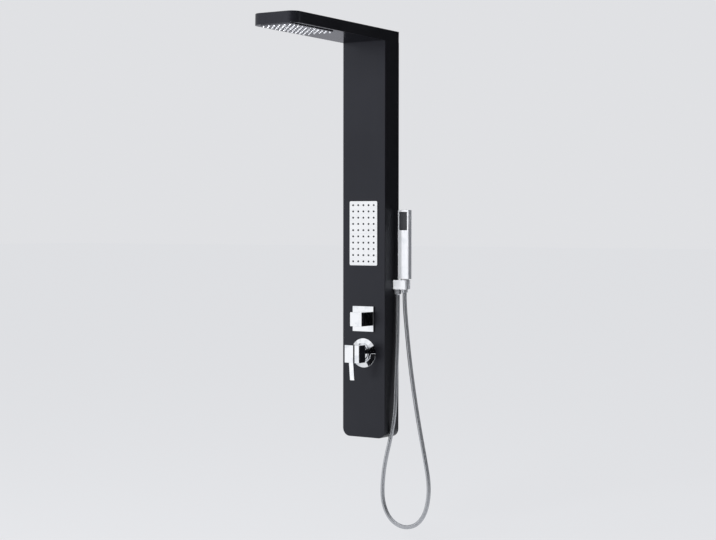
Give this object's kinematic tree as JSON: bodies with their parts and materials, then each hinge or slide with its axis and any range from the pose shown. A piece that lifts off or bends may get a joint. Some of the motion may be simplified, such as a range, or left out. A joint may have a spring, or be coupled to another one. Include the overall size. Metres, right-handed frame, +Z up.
{
  "type": "shower panel column",
  "caption": "Wall-hung shower column with an overhead rain arm, a body-jet plate, a square diverter knob, a lever mixer and a bar-shaped hand shower on a side hose.",
  "frame": {"origin": "middle of the four wall screw holes, on the wall plane", "axes": "+X to the right seen from the front, +Y into the wall, +Z up; the front faces -Y"},
  "size_m": [0.314, 0.5528, 1.6018],
  "materials": {
    "black_panel": "satin",
    "polished_steel": "polished",
    "galvanised_steel": "dull",
    "chrome": "polished",
    "plated_plastic": "chrome plated",
    "jet_plate_steel": "polished",
    "grey_silicone": "matte",
    "dark_plastic": "satin",
    "white_plastic": "matte",
    "cartridge_plastic": "matte",
    "ceramic": "polished",
    "brass": "machined",
    "steel_fasteners": "plain",
    "inner_hose": "braided",
    "metal_hose": "polished",
    "rubber_washer": "matte"
  },
  "bodies": {
    "panel": {"arm_shell": "black_panel", "arm_underplate": "polished_steel", "cold_supply_hose": "inner_hose", "cold_supply_nut": "brass", "column_shell": "black_panel", "corner_gussets": "galvanised_steel", "diverter_cartridge": "cartridge_plastic", "diverter_fixed_disc": "ceramic", "diverter_mount_nut": "brass", "diverter_plate": "chrome", "diverter_valve_body": "brass", "hand_feed_hose": "inner_hose", "hanger_bars": "galvanised_steel", "holder_block": "chrome", "holder_elbow": "brass", "holder_locknut": "brass", "holder_shank": "brass", "holder_washer": "chrome", "hose_lower_tail": "brass", "hose_nut": "chrome", "hot_supply_hose": "inner_hose", "hot_supply_nut": "brass", "jet_feed_hose": "inner_hose", "jet_nozzle_mat": "grey_silicone", "jet_nuts": "steel_fasteners", "jet_plate": "jet_plate_steel", "jet_water_box": "white_plastic", "link_pipe": "brass", "mixer_cartridge_case": "cartridge_plastic", "mixer_cartridge_nut": "brass", "mixer_fixed_disc": "ceramic", "mixer_mount_nut": "brass", "mixer_plate": "chrome", "mixer_sleeve": "chrome", "mixer_valve_body": "brass", "rain_chamber": "white_plastic", "rain_chamber_screws": "steel_fasteners", "rain_feed_hose": "inner_hose", "rain_nozzle_mat": "grey_silicone", "rain_plate": "chrome", "shower_hose": "metal_hose", "union_nuts": "brass", "wall_brackets": "galvanised_steel"},
    "mixer_rotor": {"mixer_carrier": "cartridge_plastic", "mixer_stem_pin": "steel_fasteners"},
    "mixer_lever": {"mixer_stem": "brass", "mixer_handle": "chrome", "mixer_lever_bar": "chrome", "mixer_handle_screw": "steel_fasteners"},
    "mixer_slider": {"mixer_slide_disc": "ceramic"},
    "diverter": {"diverter_knob": "chrome", "diverter_stem": "brass", "diverter_rotor_disc": "ceramic", "diverter_knob_screw": "steel_fasteners"},
    "hose_end": {"hose_upper_tail": "brass"},
    "hand_shower": {"handset_cone_nut": "chrome", "handset_nipple": "brass", "handset_washer": "rubber_washer", "handset_body": "plated_plastic", "handset_spray_face": "dark_plastic"}
  },
  "joints": [
    {"name": "mixer_turn", "type": "hinge", "parent": "panel", "child": "mixer_rotor", "pos_m": [0, -0.088, -0.3785], "axis": [0, 1, 0], "range_deg": [-45, 45]},
    {"name": "mixer_tilt", "type": "hinge", "parent": "mixer_rotor", "child": "mixer_lever", "pos_m": [0, -0.088, -0.3785], "axis": [-1, 0, 0], "range_deg": [0, 20]},
    {"name": "mixer_slide", "type": "slide", "parent": "mixer_rotor", "child": "mixer_slider", "axis": [0, 0, -1], "range_m": [0, 0.00335]},
    {"name": "diverter_turn", "type": "hinge", "parent": "panel", "child": "diverter", "pos_m": [0, -0.05, -0.269], "axis": [0, 1, 0], "range_deg": [-90, 90]},
    {"name": "hand_shower_lift", "type": "slide", "parent": "panel", "child": "hose_end", "axis": [0, 0, 1], "range_m": [0, 0.06]},
    {"name": "hand_shower_swivel", "type": "hinge", "parent": "hose_end", "child": "hand_shower", "pos_m": [0.1188, -0.0205, -0.144], "axis": [0, 0, 1], "range_deg": [-30, 30]}
  ],
  "couplings": [
    {"joint": "mixer_slide", "follows": "mixer_tilt", "m_per_rad": 0.0095}
  ]
}
